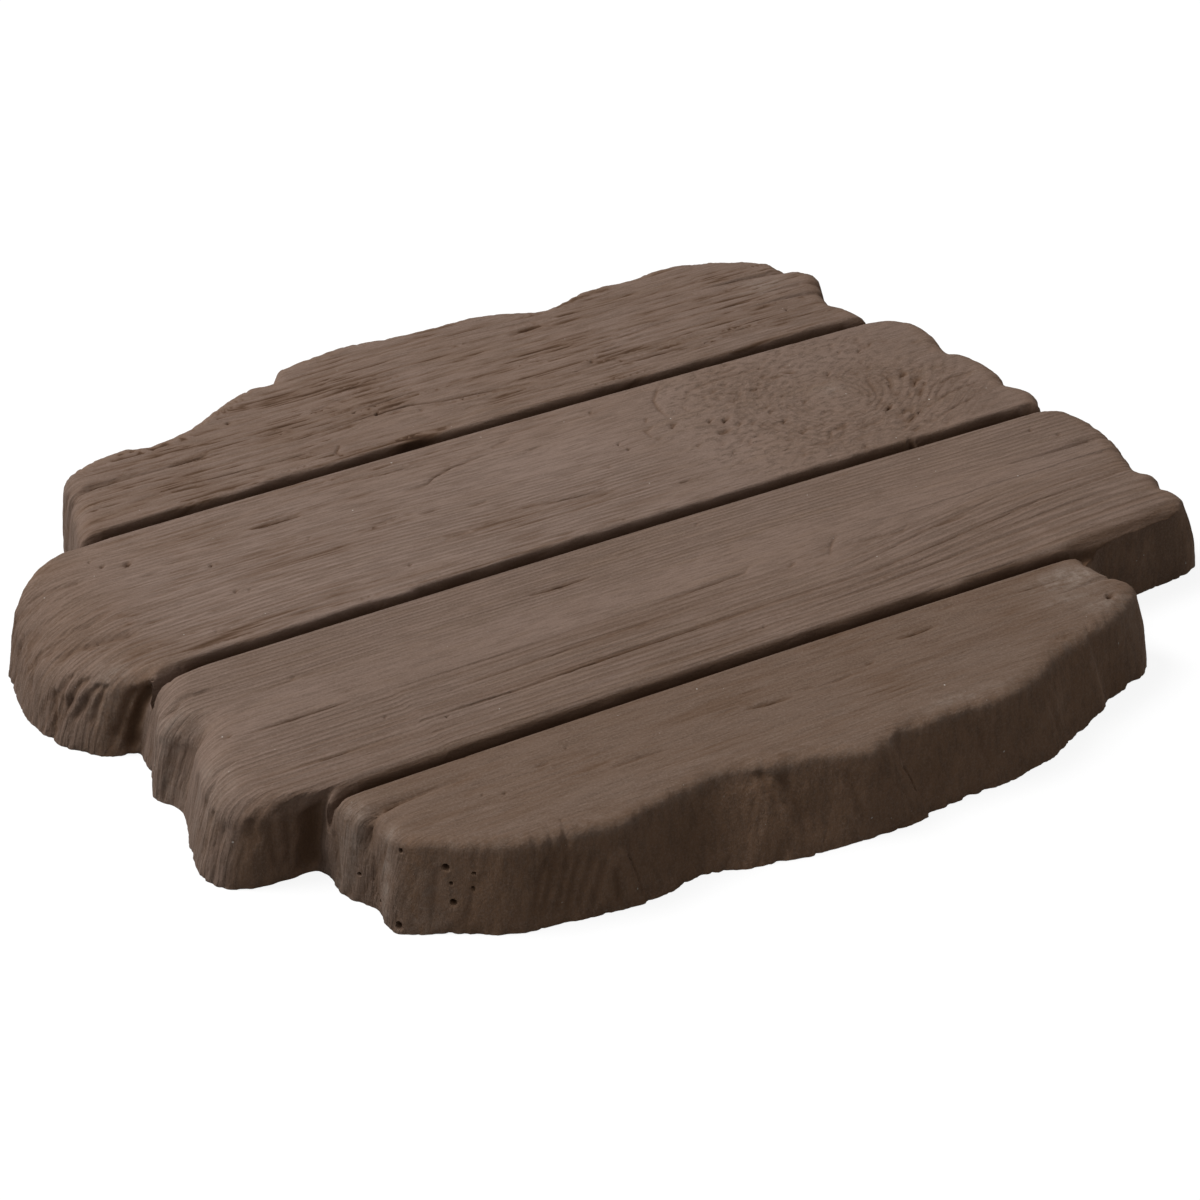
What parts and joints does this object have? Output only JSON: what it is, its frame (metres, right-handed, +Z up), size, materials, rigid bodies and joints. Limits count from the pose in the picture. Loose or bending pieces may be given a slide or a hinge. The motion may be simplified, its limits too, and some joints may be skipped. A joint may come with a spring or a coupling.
{
  "type": "garden stepping stone",
  "caption": "Flat cast concrete stepping stone moulded like weathered boards side by side, with grooves between the boards, ragged rounded ends and a flat underside to lie on the ground.",
  "frame": {"origin": "middle of the flat underside, below the centre of the stone's outline", "axes": "+X along the boards, +Y across them towards the back board, +Z up from the ground"},
  "size_m": [0.4912, 0.4158, 0.038],
  "materials": {
    "concrete": "matt cast concrete, brown, coloured through"
  },
  "bodies": {
    "root": {"stepping_stone": "concrete"}
  },
  "joints": []
}
